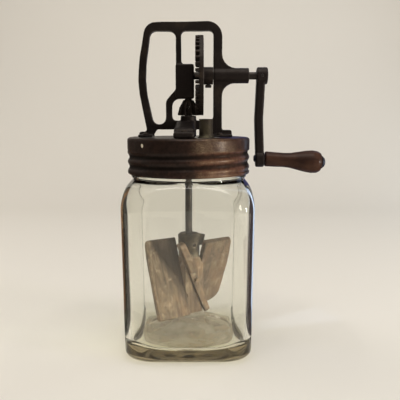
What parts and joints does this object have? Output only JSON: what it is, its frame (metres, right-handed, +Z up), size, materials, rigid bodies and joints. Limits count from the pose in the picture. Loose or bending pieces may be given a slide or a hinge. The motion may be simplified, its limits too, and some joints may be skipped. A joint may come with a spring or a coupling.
{
  "type": "butter churn",
  "caption": "Hand-cranked butter churn: square glass jar, screw lid with iron gear frame, side crank and wooden dasher paddles.",
  "frame": {"origin": "centre of the jar's flat base, where it stands", "axes": "+Z up along the dasher shaft; +X towards the crank and its grip; -Y is the front, where the vent tube is"},
  "size_m": [0.2182, 0.1368, 0.3529],
  "materials": {
    "jar_glass": "clear, faintly green, smooth",
    "lid_rusted_tin": "worn and rusted",
    "vent_dull_tin": "dull, tarnished",
    "frame_black_iron": "dark, worn satin",
    "shaft_dark_steel": "dark, tarnished",
    "bolt_blued_steel": "dark satin",
    "grip_dark_wood": "varnished, worn",
    "paddle_weathered_wood": "bare, weathered",
    "hub_grey_metal": "dull, tarnished"
  },
  "bodies": {
    "jar": {"jar": "jar_glass"},
    "lid": {"lid": "lid_rusted_tin", "vent_tube": "vent_dull_tin", "vent_strainer": "vent_dull_tin", "gear_frame": "frame_black_iron", "rivet_left_front": "frame_black_iron", "rivet_left_back": "frame_black_iron", "rivet_right_front": "frame_black_iron", "rivet_right_back": "frame_black_iron", "rivet_front_leg": "frame_black_iron", "rivet_back_leg": "frame_black_iron"},
    "crank": {"crank_shaft": "shaft_dark_steel", "drive_gear": "frame_black_iron", "gear_screw": "shaft_dark_steel", "crank_arm": "frame_black_iron", "crank_pin": "shaft_dark_steel", "handle_bolt": "bolt_blued_steel", "handle_washer": "bolt_blued_steel"},
    "grip": {"handle_grip": "grip_dark_wood"},
    "dasher": {"dasher_shaft": "shaft_dark_steel", "pinion_gear": "frame_black_iron", "pinion_pin": "shaft_dark_steel", "dasher_hub": "hub_grey_metal", "hub_pin": "shaft_dark_steel", "dasher_core": "paddle_weathered_wood", "broad_dowel": "paddle_weathered_wood", "narrow_dowel": "paddle_weathered_wood", "paddle_right": "paddle_weathered_wood", "paddle_left": "paddle_weathered_wood", "paddle_front": "paddle_weathered_wood", "paddle_back": "paddle_weathered_wood"}
  },
  "joints": [
    {"name": "lid_lift", "type": "slide", "parent": "jar", "child": "lid", "axis": [0, 0, 1], "range_m": [0, 0.2]},
    {"name": "crank_turn", "type": "hinge", "parent": "lid", "child": "crank", "pos_m": [0, 0, 0.297], "axis": [1, 0, 0], "continuous": true},
    {"name": "grip_spin", "type": "hinge", "parent": "crank", "child": "grip", "pos_m": [0.0824, 0, 0.2081], "axis": [0.9981, 0, -0.061], "continuous": true},
    {"name": "dasher_spin", "type": "hinge", "parent": "lid", "child": "dasher", "pos_m": [0, 0, 0], "axis": [0, 0, 1], "continuous": true}
  ],
  "couplings": [
    {"joint": "dasher_spin", "follows": "crank_turn", "ratio": 4}
  ]
}
